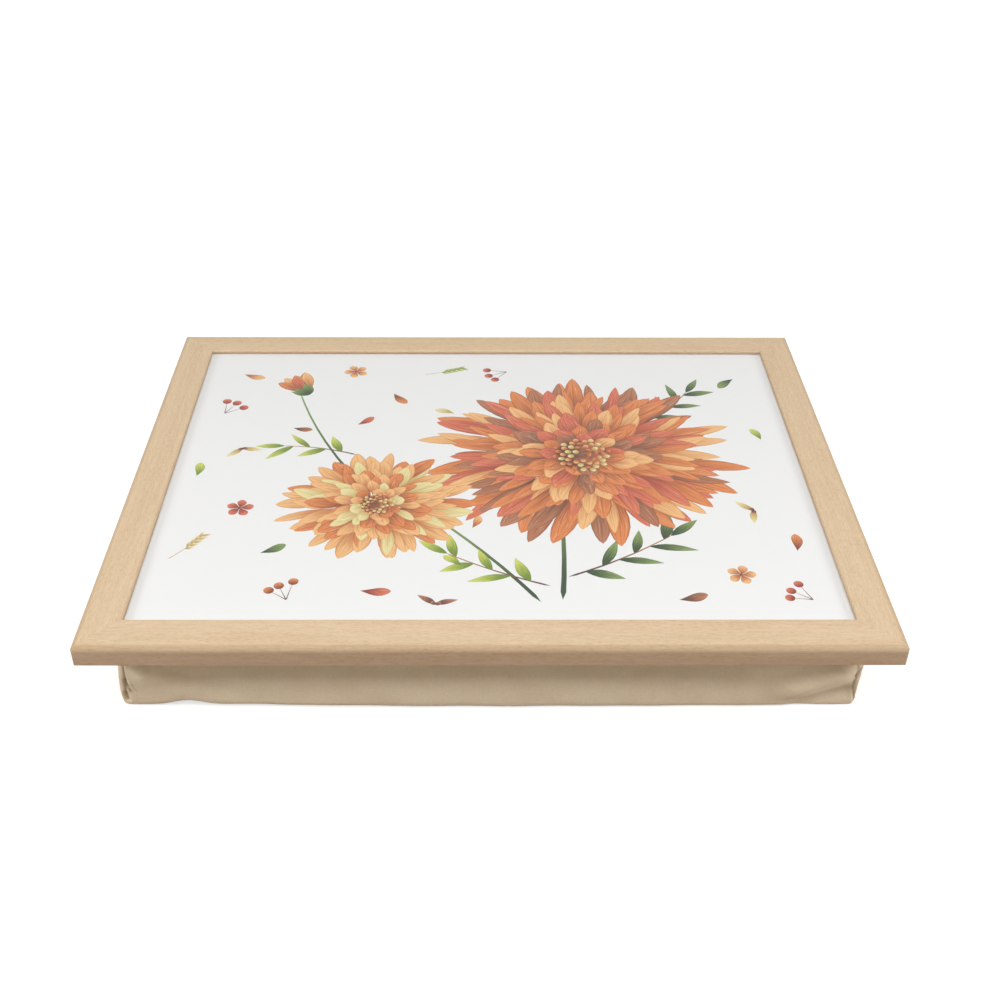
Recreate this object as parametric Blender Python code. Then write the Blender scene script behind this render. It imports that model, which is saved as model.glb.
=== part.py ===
"""A lap tray: a mitred wooden frame round a printed board, fixed on a bead-filled cushion.

Metres, +Z up. X runs along the tray's width and -Y is the edge nearest the lap. The origin lies
under the middle of the tray, on the surface that the cushion rests on.
"""

import math

import bmesh
import bpy
from mathutils import Matrix, Vector

MM = 0.001

# The whole tray
tray_width = 440 * MM
tray_depth = 340 * MM
tray_height = 60 * MM

# Room between pieces
touch_gap = 0.3 * MM
glue_gap = 0.1 * MM
cut_overrun = 1 * MM

# The frame's moulding, an L section: a solid outer part, and a lip over the board
rail_width = 23 * MM
rail_height = 13 * MM
rabbet_width = 8 * MM
lip_thickness = 2.5 * MM
shoulder_width = 3.6 * MM
shoulder_drop = 3.2 * MM
lip_round = 0.8 * MM
foot_round = 0.7 * MM
shoulder_steps = 7
small_round_steps = 3

# V-nails, two across each mitre, driven from below
v_nail_leg = 5 * MM
v_nail_thickness = 0.4 * MM
v_nail_height = 7 * MM
v_nail_recess = 0.3 * MM
v_nail_clearance = 0.15 * MM
v_nail_place_shares = {"outer": 0.27, "inner": 0.6}

# The printed face and the board under it
sheet_thickness = 0.8 * MM
board_thickness = 6 * MM
board_clearance = 0.8 * MM
board_corner_bevel = 1.5 * MM

# Framer's points, pushed into the rabbet's wall under the board
point_length = 15 * MM
point_width = 6 * MM
point_thickness = 0.5 * MM
point_bite = 6 * MM
point_tip = 2 * MM
point_clearance = 0.15 * MM
point_place_shares = {
    "front": (-0.3, 0, 0.3),
    "right": (-0.22, 0.22),
    "back": (-0.3, 0, 0.3),
    "left": (-0.22, 0.22),
}

# The cushion's cloth and its outline: upright walls with a small round at each sewn corner,
# a rounded lower edge, and a hem turned in at the top
bag_clearance = 1.4 * MM
cloth_thickness = 0.8 * MM
top_cloth_thickness = 0.6 * MM
hem_width = 17 * MM
bag_corner_round = 5 * MM
bag_edge_round = 5 * MM
corner_steps = 3
edge_steps = 3

# The cushion's form: walls that swell between the corners, and a crowned underside cut flat
bag_swell = 1.5 * MM
bag_crown = 1 * MM
bag_flat_cut = 0.5 * MM
bag_crown_reach = 14 * MM

# Stations along a straight side, and rings down a wall
side_shares = (0.03, 0.07, 0.11, 0.16, 0.25, 0.37, 0.5, 0.63, 0.75, 0.84, 0.89, 0.93, 0.97)
outer_ring_shares = (0.72, 0.45, 0.25)
inner_ring_shares = (0.45,)

# Folds pressed into each wall, near one end, in the middle and near the other end: the shares of
# the side where the fold crosses the wall's foot and its head, and its width as such a share
fold_shares = {
    "front": ((0.87, 0.985, 0.035), (0.27, 0.2, 0.06), (0.6, 0.56, 0.06)),
    "right": ((0.12, 0.03, 0.035), (0.5, 0.46, 0.06), (0.88, 0.97, 0.04)),
    "back": ((0.13, 0.02, 0.035), (0.42, 0.46, 0.06), (0.84, 0.97, 0.04)),
    "left": ((0.14, 0.03, 0.035), (0.55, 0.52, 0.06), (0.9, 0.97, 0.04)),
}
near_fold_depth = 2 * MM
middle_fold_depth = 0.8 * MM
far_fold_depth = 1.1 * MM

# Where the bag's lower edge is drawn up on each side: the middle and the width, as shares
lift_shares = {
    "front": (0.085, 0.035),
    "right": (0.38, 0.06),
    "back": (0.7, 0.06),
    "left": (0.3, 0.06),
}
lift_height = 3.2 * MM
lift_fade_share = 0.45

# How far the lower corner at the end of each side is tucked in, as a share of the deepest tuck
corner_tuck_shares = {"front": 0.15, "right": 0.5, "back": 0.7, "left": 1}
corner_tuck = 3.5 * MM
corner_tuck_reach = 18 * MM
corner_tuck_fade_share = 0.4

# Staples through the hem and the top cloth into the board
staple_crown = 10 * MM
staple_leg = 8 * MM
staple_wire = 0.7 * MM
staple_tip = 0.8 * MM
staple_shoulder = 0.25 * MM
staple_clearance = 0.2 * MM
staple_place_shares = {
    "front": (-0.42, -0.14, 0.14, 0.42),
    "right": (-0.34, 0, 0.34),
    "back": (-0.42, -0.14, 0.14, 0.42),
    "left": (-0.34, 0, 0.34),
}

# The stack of layers, from the top down
rail_bottom = tray_height - rail_height
sheet_top = tray_height - lip_thickness - touch_gap
sheet_bottom = sheet_top - sheet_thickness
board_top = sheet_bottom - glue_gap
board_bottom = board_top - board_thickness
point_bottom = board_bottom - touch_gap - point_thickness
top_cloth_top = point_bottom - touch_gap
top_cloth_bottom = top_cloth_top - top_cloth_thickness
hem_top = top_cloth_bottom - touch_gap
hem_bottom = hem_top - cloth_thickness
staple_bottom = hem_bottom - touch_gap - staple_wire
fill_top = staple_bottom - touch_gap

# Insets from the frame's outer edge
rabbet_wall = rail_width - rabbet_width
board_inset = rabbet_wall + board_clearance
bag_inset = rabbet_wall + bag_clearance
hem_inset = bag_inset + hem_width

# The sides in order round the tray, and the corner where each of them starts
SIDES = ("front", "right", "back", "left")
CORNERS = ("front_left", "front_right", "back_right", "back_left")


def half_span(side):
    """How far the frame's outer edge on this side lies from the middle."""
    return tray_depth / 2 if side in ("front", "back") else tray_width / 2


def half_length(side):
    """Half the length of the frame's outer edge on this side."""
    return tray_width / 2 if side in ("front", "back") else tray_depth / 2


def side_matrix(side, along, inset, height):
    """A place on one side: local +X runs along the side and local +Y points inwards."""
    turn = Matrix.Rotation(SIDES.index(side) * math.pi / 2, 4, "Z")
    return turn @ Matrix.Translation((along, inset - half_span(side), height))


def corner_matrix(corner, inset, height):
    """A place on a corner's mitre line: local +X and +Y run along the two rails that meet there."""
    side = SIDES[CORNERS.index(corner)]
    return side_matrix(side, inset - half_length(side), inset, height)


def places_along(place_shares):
    """Each side's places, numbered from 1, as (side, number, distance from the side's middle)."""
    return [
        (side, number, share * 2 * half_length(side))
        for side, shares in place_shares.items()
        for number, share in enumerate(shares, 1)
    ]


def srgb(red, green, blue):
    """A colour given from 0 to 255 as the eye sees it, in the linear values that a shader takes."""
    values = [channel / 255 for channel in (red, green, blue)]
    return [v / 12.92 if v <= 0.04045 else ((v + 0.055) / 1.055) ** 2.4 for v in values]


def make_material(name, colour, roughness, metallic=0.0):
    material = bpy.data.materials.new(name)
    material.use_nodes = True
    shader = material.node_tree.nodes["Principled BSDF"]
    shader.inputs["Base Color"].default_value = (*colour, 1)
    shader.inputs["Roughness"].default_value = roughness
    shader.inputs["Metallic"].default_value = metallic
    material.diffuse_color = (*colour, 1)
    return material


def finish_mesh(name, bm, smooth_angle=None):
    """Turn a bmesh into a mesh with its faces pointing out, smooth below the given angle."""
    bmesh.ops.recalc_face_normals(bm, faces=bm.faces)
    mesh = bpy.data.meshes.new(name)
    bm.to_mesh(mesh)
    bm.free()
    if smooth_angle is not None:
        mesh.shade_smooth()
        mesh.set_sharp_from_angle(angle=smooth_angle)
    return mesh


def place_piece(name, mesh, material, matrix=None):
    """Add an object of the mesh, at the given place."""
    if not mesh.materials:
        mesh.materials.append(material)
    piece = bpy.data.objects.new(name, mesh)
    bpy.context.collection.objects.link(piece)
    if matrix is not None:
        piece.matrix_world = matrix
    return piece


def make_cutter(name, bm):
    """A shape that only cuts others and isn't a piece of the tray."""
    cutter = bpy.data.objects.new(name, finish_mesh(name, bm))
    bpy.context.collection.objects.link(cutter)
    cutter.display_type = "WIRE"
    cutter.hide_render = True
    return cutter


def cut_by(piece, cutter):
    modifier = piece.modifiers.new(cutter.name, "BOOLEAN")
    modifier.operation = "DIFFERENCE"
    modifier.solver = "EXACT"
    modifier.object = cutter


def bridge(bm, ring_a, ring_b):
    """Join two closed rings of as many points with a band of faces."""
    for i in range(len(ring_a)):
        j = (i + 1) % len(ring_a)
        bm.faces.new((ring_a[i], ring_a[j], ring_b[j], ring_b[i]))


def add_prism(bm, outline, low, high, matrix=None):
    """Add a flat outline, given in X and Y, extruded from one height to another."""
    rings = []
    for height in (low, high):
        points = [Vector((x, y, height)) for x, y in outline]
        rings.append([bm.verts.new(matrix @ point if matrix else point) for point in points])
    bridge(bm, rings[0], rings[1])
    for ring in rings:
        bm.faces.new(ring)


def rectangle(half_x, half_y):
    return [(-half_x, -half_y), (half_x, -half_y), (half_x, half_y), (-half_x, half_y)]


def quarter_round(start, end, steps, level_first):
    """Points of a quarter ellipse between two points of a section, which leaves the first one level
    or upright."""
    points = []
    for step in range(steps + 1):
        angle = math.pi / 2 * step / steps
        level = math.sin(angle) if level_first else 1 - math.cos(angle)
        upright = 1 - math.cos(angle) if level_first else math.sin(angle)
        points.append((start[0] + (end[0] - start[0]) * level, start[1] + (end[1] - start[1]) * upright))
    return points


def rail_section():
    """The moulding's section, as inset from the outer edge and height above the underside."""
    shoulder_foot = rail_height - shoulder_drop
    lip_edge = rail_height - lip_round
    lip_underside = rail_height - lip_thickness
    lip_start = (rail_width - lip_round, rail_height)
    return [
        *quarter_round((foot_round, 0), (0, foot_round), small_round_steps, True),
        *quarter_round((0, shoulder_foot), (shoulder_width, rail_height), shoulder_steps, False),
        *quarter_round(lip_start, (rail_width, lip_edge), small_round_steps, True),
        (rail_width, lip_underside),
        (rabbet_wall, lip_underside),
        (rabbet_wall, 0),
    ]


def rail_mesh(side):
    """The section swept along one side, with its ends mitred and set back for the glue."""
    bm = bmesh.new()
    set_back = glue_gap * math.sin(math.pi / 4)
    ends = []
    for direction in (-1, 1):
        reach = half_length(side) - set_back
        ends.append([bm.verts.new((direction * (reach - inset), inset, z)) for inset, z in rail_section()])
    bridge(bm, ends[0], ends[1])
    for end in ends:
        bm.faces.new(end)
    return finish_mesh(f"{side}_rail", bm, math.radians(30))


def v_nail_outline(grow=0.0):
    """The V seen from above, its legs along local X and Y, wider all round by the given amount."""
    inside = v_nail_thickness + grow
    far = v_nail_leg + grow
    return [(-grow, -grow), (far, -grow), (far, inside), (inside, inside), (inside, far), (-grow, far)]


def point_outline(grow=0.0):
    """A framer's point seen from above: sharp at -Y, in the wall, and blunt at +Y, under the board."""
    half = point_width / 2 + grow
    sharp = -point_bite - grow
    blunt = point_length - point_bite + grow
    return [(0, sharp), (half, sharp + point_tip), (half, blunt), (-half, blunt), (-half, sharp + point_tip)]


def staple_outline():
    """A staple seen from the side: a crown with two legs, each cut to a point at its inner side."""
    half = staple_crown / 2
    inner = half - staple_wire
    right = [
        (half - staple_shoulder, 0),
        (half, staple_shoulder),
        (half, staple_leg - staple_tip),
        (inner, staple_leg),
        (inner, staple_wire),
    ]
    return right + [(-x, z) for x, z in reversed(right)]


def make_frame(material):
    """The four rails, with their slots for the V-nails and the framer's points."""
    bm = bmesh.new()
    v_slot_top = v_nail_recess + v_nail_height + v_nail_clearance
    for corner in CORNERS:
        for share in v_nail_place_shares.values():
            place = corner_matrix(corner, share * rabbet_wall, rail_bottom)
            add_prism(bm, v_nail_outline(v_nail_clearance), -cut_overrun, v_slot_top, place)
    for side, _, along in places_along(point_place_shares):
        place = side_matrix(side, along, rabbet_wall, point_bottom)
        slot_top = point_thickness + point_clearance
        add_prism(bm, point_outline(point_clearance), -point_clearance, slot_top, place)
    slots = make_cutter("frame_slots", bm)
    for side in SIDES:
        rail = place_piece(f"{side}_rail", rail_mesh(side), material, side_matrix(side, 0, 0, rail_bottom))
        cut_by(rail, slots)


def make_v_nails(material):
    bm = bmesh.new()
    add_prism(bm, v_nail_outline(), 0, v_nail_height)
    mesh = finish_mesh("v_nail", bm)
    for corner in CORNERS:
        for row, share in v_nail_place_shares.items():
            place = corner_matrix(corner, share * rabbet_wall, rail_bottom + v_nail_recess)
            place_piece(f"v_nail_{corner}_{row}", mesh, material, place)


def make_points(material):
    bm = bmesh.new()
    add_prism(bm, point_outline(), 0, point_thickness)
    mesh = finish_mesh("framers_point", bm)
    for side, number, along in places_along(point_place_shares):
        place = side_matrix(side, along, rabbet_wall, point_bottom)
        place_piece(f"framers_point_{side}_{number}", mesh, material, place)


def panel_mesh(name, low, high):
    """A flat panel that fills the rabbet, its corners eased so that it drops into the frame."""
    bm = bmesh.new()
    add_prism(bm, rectangle(tray_width / 2 - board_inset, tray_depth / 2 - board_inset), low, high)
    bm.normal_update()
    upright = [edge for edge in bm.edges if edge.verts[0].co.z != edge.verts[1].co.z]
    bmesh.ops.bevel(bm, geom=upright, offset=board_corner_bevel, segments=2, profile=0.5, affect="EDGES")
    return finish_mesh(name, bm)


def make_panels(sheet_material, board_material, staple_holes):
    """The printed sheet, and the board that it is glued to."""
    place_piece("printed_face", panel_mesh("printed_face", sheet_bottom, sheet_top), sheet_material)
    board = place_piece("tray_board", panel_mesh("tray_board", board_bottom, board_top), board_material)
    cut_by(board, staple_holes)


def make_staples(material):
    """The staples, and the cutter for the holes that their legs make."""
    half_wire = staple_wire / 2
    bm = bmesh.new()
    upright = Matrix.Rotation(math.pi / 2, 4, "X")
    add_prism(bm, staple_outline(), -half_wire, half_wire, upright)
    mesh = finish_mesh("staple", bm)
    hole_half = half_wire + staple_clearance
    leg_middle = staple_crown / 2 - half_wire
    cutter = bmesh.new()
    middle = bag_inset + hem_width / 2
    for side, number, along in places_along(staple_place_shares):
        place = side_matrix(side, along, middle, staple_bottom)
        place_piece(f"staple_{side}_{number}", mesh, material, place)
        for direction in (-1, 1):
            place = side_matrix(side, along + direction * leg_middle, middle, staple_bottom)
            add_prism(cutter, rectangle(hole_half, hole_half), 0, staple_leg + staple_clearance, place)
    return make_cutter("staple_holes", cutter)


def bump(value, middle, width):
    """A smooth hump of height 1."""
    return math.exp(-(((value - middle) / width) ** 2))


def wall_offset(side, share, height_share):
    """How far a wall stands out, at shares along its side and of its height."""
    offset = bag_swell * math.sin(math.pi * share) * (1 - height_share**2)
    depths = (near_fold_depth, middle_fold_depth, far_fold_depth)
    for (foot_share, head_share, width_share), depth in zip(fold_shares[side], depths):
        middle_share = foot_share + (head_share - foot_share) * height_share
        offset -= depth * bump(share, middle_share, width_share) * math.cos(math.pi / 2 * height_share)
    return offset


def edge_lift(side, share, height_share):
    """How far the lower part of a wall is drawn up."""
    middle_share, width_share = lift_shares[side]
    fade = max(1 - height_share / lift_fade_share, 0)
    return lift_height * bump(share, middle_share, width_share) * fade


def corner_tuck_at(side, along, height_share):
    """How far a point near one of the bag's lower corners is drawn in, along both of its walls."""
    corner = side if along > 0 else SIDES[SIDES.index(side) - 1]
    distance = half_length(side) - bag_inset - abs(along)
    fade = max(1 - height_share / corner_tuck_fade_share, 0)
    tuck = corner_tuck * corner_tuck_shares[corner] * math.sin(math.pi / 4)
    return tuck * bump(distance, 0, corner_tuck_reach) * fade


def bag_outline_stations(all_shares):
    """Stations round the bag, each a side, a share along its straight part and an angle turned.

    The share is None on the rounded corner that follows the side.
    """
    stations = []
    for side in SIDES:
        stations += [(side, share, 0.0) for share in (0, *all_shares, 1)]
        stations += [(side, None, math.pi / 2 * step / corner_steps) for step in range(1, corner_steps)]
    return stations


def bag_point(station, depth, height, height_share):
    """A point at a depth in from the bag's outer surface, at a station round it."""
    side, share, turned = station
    radius = max(bag_corner_round - depth, touch_gap)
    straight = half_length(side) - bag_inset - depth - radius
    reach = half_span(side) - bag_inset - depth
    lift = 0.0
    if share is None:
        along = straight + radius * math.sin(turned)
        reach -= radius * (1 - math.cos(turned))
    else:
        along = straight * (2 * share - 1)
        reach += wall_offset(side, share, height_share)
        lift = edge_lift(side, share, height_share)
    tuck = corner_tuck_at(side, along, height_share)
    across = -reach + tuck
    along -= math.copysign(tuck, along)
    turn = Matrix.Rotation(SIDES.index(side) * math.pi / 2, 3, "Z")
    return turn @ Vector((along, across, height + lift))


def bag_surface(bm, skin, head, ring_shares, steps, floor):
    """The bag's surface at a depth under its outer one, from an upper ring down to a closed floor.

    Returns the upper ring.
    """
    stations = bag_outline_stations(side_shares)
    wall_height = hem_top
    edge_radius = bag_edge_round - skin
    rings = []

    def add_ring(depth, height, height_share):
        rings.append([bm.verts.new(bag_point(station, depth, height, height_share)) for station in stations])

    add_ring(skin, head, head / wall_height)
    for share in ring_shares:
        add_ring(skin, wall_height * share, share)
    rim = floor + bag_crown
    for step in range(steps + 1):
        angle = math.pi / 2 * step / steps
        depth = skin + edge_radius * (1 - math.cos(angle))
        add_ring(depth, rim + edge_radius * (1 - math.sin(angle)), 0)
    add_ring(skin + edge_radius + bag_crown_reach, floor, 1)
    for upper, lower in zip(rings, rings[1:]):
        bridge(bm, upper, lower)
    bm.faces.new(rings[-1])
    return rings[0]


def add_shelf(bm, ring, corners):
    """Flat faces between a ring round the bag, one side after another, and an inner rectangle."""
    per_side = len(ring) // len(SIDES)
    for number in range(len(SIDES)):
        start = number * per_side
        stretch = [ring[(start + i) % len(ring)] for i in range(per_side + 1)]
        bm.faces.new((*stretch, corners[(number + 1) % len(SIDES)], corners[number]))


def add_rectangle(bm, half_x, half_y, height):
    return [bm.verts.new((x, y, height)) for x, y in rectangle(half_x, half_y)]


def make_bag(material, staple_holes):
    """The cushion's cover: four walls and a floor in one cloth, with a hem turned in at the top."""
    bm = bmesh.new()
    outside = bag_surface(bm, 0, hem_top, outer_ring_shares, edge_steps, -bag_flat_cut)
    inside = bag_surface(bm, cloth_thickness, hem_bottom, inner_ring_shares, 1, cloth_thickness)
    half_x, half_y = tray_width / 2 - hem_inset, tray_depth / 2 - hem_inset
    upper = add_rectangle(bm, half_x, half_y, hem_top)
    lower = add_rectangle(bm, half_x, half_y, hem_bottom)
    add_shelf(bm, outside, upper)
    add_shelf(bm, inside, lower)
    bridge(bm, upper, lower)
    cut = bmesh.ops.bisect_plane(
        bm,
        geom=[*bm.verts, *bm.edges, *bm.faces],
        plane_co=(0, 0, 0),
        plane_no=(0, 0, 1),
        clear_inner=True,
    )
    rim = [item for item in cut["geom_cut"] if isinstance(item, bmesh.types.BMEdge)]
    bmesh.ops.edgeloop_fill(bm, edges=rim)
    bag = place_piece("cushion_cover", finish_mesh("cushion_cover", bm, math.radians(50)), material)
    cut_by(bag, staple_holes)


def make_top_cloth(material, staple_holes):
    """The cloth that closes the bag under the board."""
    bm = bmesh.new()
    outline = [bag_point(station, 0, 0, 1).xy for station in bag_outline_stations(())]
    add_prism(bm, outline, top_cloth_bottom, top_cloth_top)
    cloth = place_piece("cushion_top_cloth", finish_mesh("cushion_top_cloth", bm), material)
    cut_by(cloth, staple_holes)


def make_fill(material):
    """The loose beads as one solid: it fills the walls, and rises inside the hem to the top cloth."""
    bm = bmesh.new()
    skin = cloth_thickness + touch_gap
    brim = bag_surface(bm, skin, fill_top, inner_ring_shares, 1, skin)
    half_x = tray_width / 2 - hem_inset - touch_gap
    half_y = tray_depth / 2 - hem_inset - touch_gap
    step = add_rectangle(bm, half_x, half_y, fill_top)
    crown = add_rectangle(bm, half_x, half_y, top_cloth_bottom - touch_gap)
    add_shelf(bm, brim, step)
    bridge(bm, step, crown)
    bm.faces.new(crown)
    place_piece("bead_fill", finish_mesh("bead_fill", bm, math.radians(50)), material)


def build_tray():
    for old in list(bpy.data.objects):
        bpy.data.objects.remove(old)
    wood = make_material("beech", srgb(221, 195, 158), 0.42)
    print_gloss = make_material("white_laminate", srgb(240, 240, 238), 0.2)
    fibreboard = make_material("fibreboard", srgb(140, 104, 72), 0.8)
    cotton = make_material("cream_cotton", srgb(196, 178, 148), 0.85)
    lining = make_material("lining_cloth", srgb(222, 214, 198), 0.85)
    beads = make_material("white_beads", srgb(244, 244, 242), 0.7)
    steel = make_material("bright_steel", srgb(190, 190, 192), 0.35, 1.0)
    make_frame(wood)
    make_v_nails(steel)
    make_points(steel)
    staple_holes = make_staples(steel)
    make_panels(print_gloss, fibreboard, staple_holes)
    make_bag(cotton, staple_holes)
    make_top_cloth(lining, staple_holes)
    make_fill(beads)


build_tray()
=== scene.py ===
# %% [markdown]
# This lesson dresses a lap tray: a picture-frame tray top, with a printed board under a mitred
# beech moulding, fixed on a flat cushion of cream cotton that is filled with loose beads.
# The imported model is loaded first. It holds every piece at its real size and place, in metres,
# and the new pieces are made round it, so nothing has to be fitted afterwards.

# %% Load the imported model
import math
import random
from functools import partialmethod

import bmesh
import bpy
from mathutils import Matrix, Vector, geometry, noise


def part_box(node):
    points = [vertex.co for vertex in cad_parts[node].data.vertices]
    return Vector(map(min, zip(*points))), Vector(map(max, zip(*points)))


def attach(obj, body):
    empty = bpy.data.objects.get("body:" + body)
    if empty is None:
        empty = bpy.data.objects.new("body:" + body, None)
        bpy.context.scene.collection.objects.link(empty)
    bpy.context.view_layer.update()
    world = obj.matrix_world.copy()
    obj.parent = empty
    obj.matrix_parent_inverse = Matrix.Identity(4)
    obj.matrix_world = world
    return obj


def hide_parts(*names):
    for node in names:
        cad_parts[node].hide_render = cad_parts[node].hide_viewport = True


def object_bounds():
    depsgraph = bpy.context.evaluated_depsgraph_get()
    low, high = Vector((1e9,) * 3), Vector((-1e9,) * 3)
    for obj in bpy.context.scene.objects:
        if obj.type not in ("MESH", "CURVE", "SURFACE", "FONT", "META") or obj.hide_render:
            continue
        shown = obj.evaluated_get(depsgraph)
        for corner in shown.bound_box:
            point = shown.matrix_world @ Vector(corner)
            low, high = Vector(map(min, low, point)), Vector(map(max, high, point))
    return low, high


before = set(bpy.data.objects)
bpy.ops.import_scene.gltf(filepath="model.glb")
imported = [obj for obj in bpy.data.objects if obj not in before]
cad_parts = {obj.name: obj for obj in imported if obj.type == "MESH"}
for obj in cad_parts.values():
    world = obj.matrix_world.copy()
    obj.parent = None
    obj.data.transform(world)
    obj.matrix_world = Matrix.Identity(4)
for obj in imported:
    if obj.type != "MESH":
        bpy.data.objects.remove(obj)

bpy.ops.object.select_all(action="DESELECT")
cad_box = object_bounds()
MM = 0.001
TOLERANCE = 1e-6
print("nodes:", len(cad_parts), "size in mm:", [round(x / MM, 1) for x in cad_box[1] - cad_box[0]])

# %% [markdown]
# The camera stands in front of the tray and a little above it, as someone would look at it on a
# table. Its place and lens come from the picture's perspective: how fast the side rails draw
# together gives the distance, and the height of the front face against the top gives the tilt.
# The small shift frames the tray a little off the middle of the picture.

# %% Camera
camera_place = (-8.2 * MM, -680.3 * MM, 519.2 * MM)
camera_tilt = math.radians(90 - 35.45)
camera_pan = math.radians(-0.52)
camera_roll = math.radians(0.322)
turn = Matrix.Rotation(camera_pan, 3, "Z") @ Matrix.Rotation(camera_tilt, 3, "X")
turn = turn @ Matrix.Rotation(camera_roll, 3, "Z")
bpy.ops.object.camera_add(location=camera_place, rotation=turn.to_euler())
camera = bpy.context.object
camera.data.sensor_width = 36
camera.data.lens = 47.03
camera.data.shift_x = 0.0151
camera.data.shift_y = -0.0021
bpy.context.scene.camera = camera
bpy.context.scene.view_settings.view_transform = "Standard"
print("camera turned by", [round(math.degrees(a), 2) for a in camera.rotation_euler], "degrees")

# %% [markdown]
# Materials are built from nodes, and long chains of Math nodes are hard to read. So one small
# class wraps a node's output and lets Python calculate with it: an expression such as 1 - mask
# adds the Math nodes for it. A second class holds a material. Its node method adds any other
# node, and the rest are short names for what these materials need often.

# %% A socket that Python can calculate with
class Value:
    """One output of a shader node."""

    def __init__(self, material, socket):
        self.material = material
        self.socket = socket

    def out(self, name):
        """Another output of the same node."""
        return Value(self.material, self.socket.node.outputs[name])

    def maths(self, operation, *others):
        """A Math node that works on this value and others."""
        inputs = dict(enumerate((self, *others)))
        return self.material.node("ShaderNodeMath", {"operation": operation}, inputs)

    def __rsub__(self, other):
        return self * -1 + other

    __add__ = __radd__ = partialmethod(maths, "ADD")
    __sub__ = partialmethod(maths, "SUBTRACT")
    __mul__ = __rmul__ = partialmethod(maths, "MULTIPLY")
    __truediv__ = partialmethod(maths, "DIVIDE")
    __pow__ = partialmethod(maths, "POWER")
    __abs__ = partialmethod(maths, "ABSOLUTE")


# %% A material made of nodes
class Finish:
    """A material, or the world, with its nodes cleared so that others are added one by one."""

    def __init__(self, name, library="materials"):
        self.material = getattr(bpy.data, library).new(name)
        self.material.use_nodes = True
        self.tree = self.material.node_tree
        self.tree.nodes.clear()

    def node(self, kind, settings=None, inputs=None):
        """Add a node, first with its settings and then with its inputs, as values or as links."""
        node = self.tree.nodes.new(kind)
        for name, setting in (settings or {}).items():
            setattr(node, name, setting)
        for name, value in (inputs or {}).items():
            if isinstance(value, Value):
                self.tree.links.new(value.socket, node.inputs[name])
            elif node.inputs[name].type == "RGBA":
                node.inputs[name].default_value = (*value, 1)
            else:
                node.inputs[name].default_value = value
        return Value(self, node.outputs[0]) if node.outputs else None

    def place(self):
        """The point's own place on the object, in metres."""
        return self.node("ShaderNodeTexCoord").out("Object")

    def noise(self, vector, size, detail=2.0, roughness=0.5, turn=0.0, move=(0, 0, 0)):
        """Noise with lumps of this size along X, Y and Z, after a turn about Z and a move."""
        inputs = {"Vector": vector, "Rotation": (0, 0, turn), "Location": move}
        turned = self.node("ShaderNodeMapping", {}, inputs)
        steps = tuple(1 / length for length in size)
        scaled = self.node("ShaderNodeVectorMath", {"operation": "MULTIPLY"}, {0: turned, 1: steps})
        inputs = {"Vector": scaled, "Scale": 1, "Detail": detail, "Roughness": roughness}
        return self.node("ShaderNodeTexNoise", {}, inputs)

    def ramp(self, value, low, high, bottom=0.0, top=1.0):
        """A value that rises smoothly from bottom to top as another goes from low to high."""
        inputs = {"Value": value, "From Min": low, "From Max": high, "To Min": bottom, "To Max": top}
        return self.node("ShaderNodeMapRange", {"interpolation_type": "SMOOTHSTEP"}, inputs)

    def mix(self, factor, first, second, blend="MIX"):
        """Colours mixed, where the factor goes from 0 for the first to 1 for the second."""
        settings = {"data_type": "RGBA", "blend_type": blend}
        return self.node("ShaderNodeMix", settings, {0: factor, 6: first, 7: second}).out(2)

    def bump(self, height, distance, strength=1.0, normal=None):
        inputs = {"Height": height, "Distance": distance, "Strength": strength}
        if normal is not None:
            inputs["Normal"] = normal
        return self.node("ShaderNodeBump", {}, inputs)

    def surface(self, inputs):
        """The finished surface: a Principled shader with these inputs."""
        shader = self.node("ShaderNodeBsdfPrincipled", {}, inputs)
        self.node("ShaderNodeOutputMaterial", {}, {"Surface": shader})
        return self.material


def srgb(red, green, blue):
    """A colour given from 0 to 255 as the eye sees it, in the linear values that a shader takes."""
    values = [channel / 255 for channel in (red, green, blue)]
    return tuple(v / 12.92 if v <= 0.04045 else ((v + 0.055) / 1.055) ** 2.4 for v in values)


print("a warm white is", [round(v, 3) for v in srgb(255, 250, 240)], "in linear values")

# %% [markdown]
# The tray stands on a white floor. What the camera and the reflections see of it has a glow added,
# stronger further off, so that it reads as white paper and still takes the tray's soft shadow. The
# light that it throws back at the tray comes from a plainer, warmer tone, so that the white doesn't
# wash out the sides. The sky works in the same way: white to the eye, and dimmer as a light.

# %% Floor and sky
def seen_rays(finish):
    """1 for rays from the eye and for reflections, 0 for rays that only carry light."""
    rays = finish.node("ShaderNodeLightPath")
    return rays.out("Is Camera Ray") + rays.out("Is Glossy Ray") + rays.out("Is Transmission Ray")


def make_floor_material():
    finish = Finish("white_floor")
    length = finish.node("ShaderNodeVectorMath", {"operation": "LENGTH"}, {0: finish.place()})
    distance = length.out("Value")
    shade = finish.node("ShaderNodeBsdfDiffuse", {}, {"Color": (0.5, 0.5, 0.5)})
    strength = finish.ramp(distance, 0.3, 1.2, 0.68, 0.9) + finish.ramp(distance, 1.5, 4, 0, 0.1)
    glow = finish.node("ShaderNodeEmission", {}, {"Color": (1, 1, 1), "Strength": strength})
    paper = finish.node("ShaderNodeAddShader", {}, {0: shade, 1: glow})
    plain = finish.node("ShaderNodeBsdfDiffuse", {}, {"Color": (0.55, 0.5, 0.44)})
    both = finish.node("ShaderNodeMixShader", {}, {0: seen_rays(finish), 1: plain, 2: paper})
    finish.node("ShaderNodeOutputMaterial", {}, {"Surface": both})
    return finish.material


bpy.ops.mesh.primitive_plane_add(size=12, location=(0, 0, cad_box[0].z))
floor = bpy.context.object
floor.name = "floor"
floor.data.materials.append(make_floor_material())

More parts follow.
